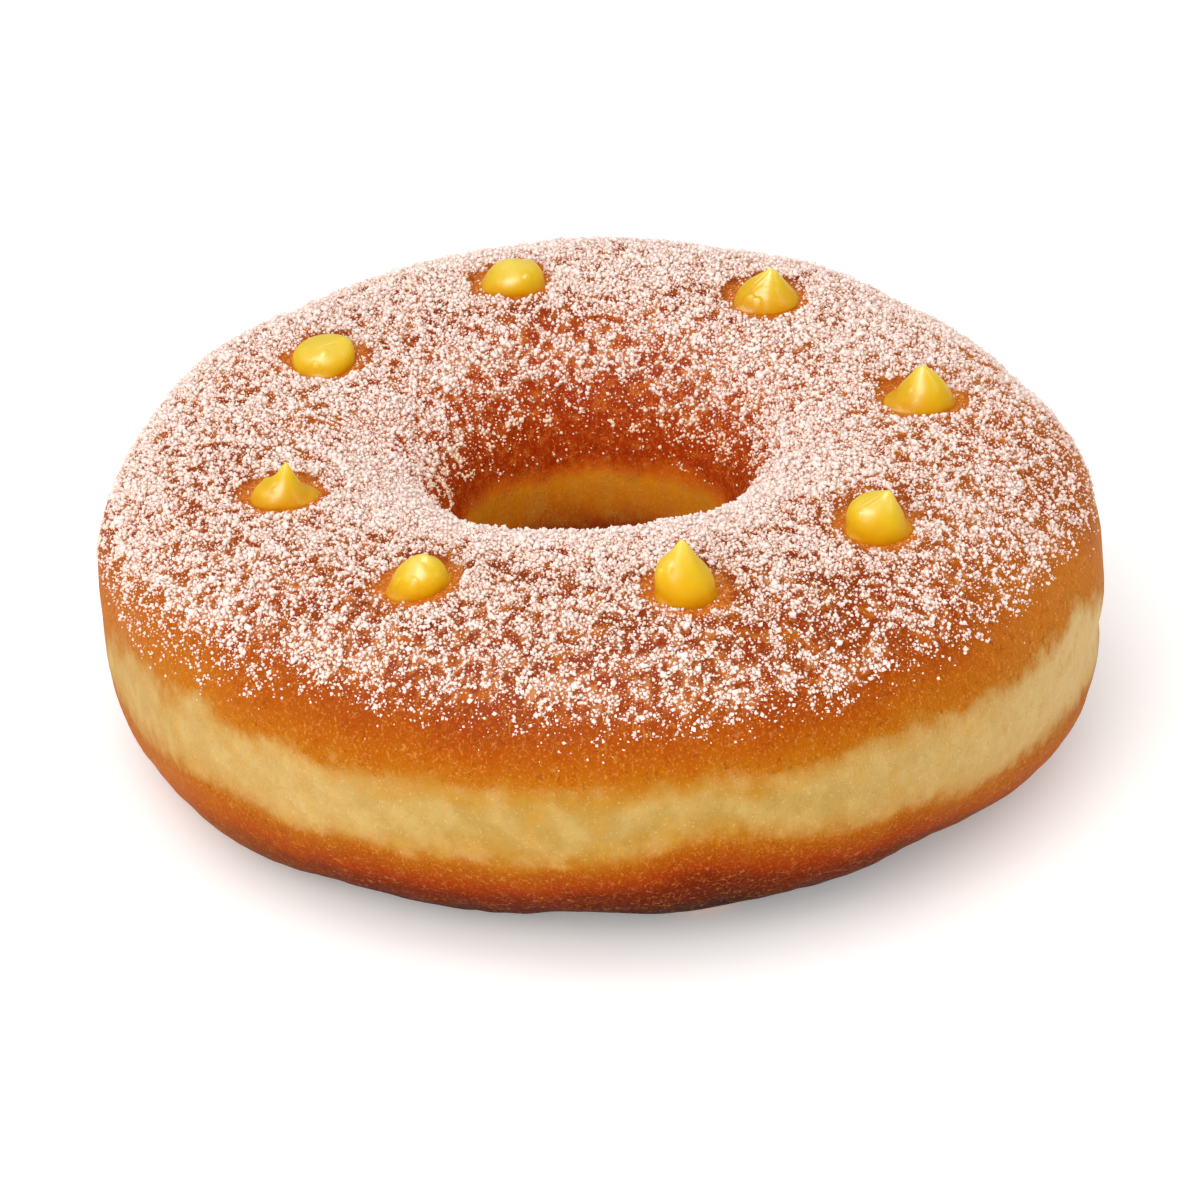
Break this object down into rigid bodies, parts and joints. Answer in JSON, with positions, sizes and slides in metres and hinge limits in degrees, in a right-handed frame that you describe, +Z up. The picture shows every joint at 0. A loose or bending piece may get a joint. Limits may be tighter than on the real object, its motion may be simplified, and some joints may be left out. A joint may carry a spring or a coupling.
{
  "type": "sugar doughnut",
  "caption": "Fried ring doughnut with a pale band round its waist, a crown dusted with sugar and small drops of custard piped in a circle on top.",
  "frame": {"origin": "middle of the foot, on the surface that the doughnut lies on", "axes": "+Z up through the hole, -Y towards the side seen in front, +X to its right"},
  "size_m": [0.0959, 0.0969, 0.0374],
  "materials": {
    "crust": "satin",
    "custard": "gloss",
    "sugar": "matte"
  },
  "bodies": {
    "root": {"doughnut": "crust", "custard_1": "custard", "custard_2": "custard", "custard_3": "custard", "custard_4": "custard", "custard_5": "custard", "custard_6": "custard", "custard_7": "custard", "custard_8": "custard"}
  },
  "joints": []
}
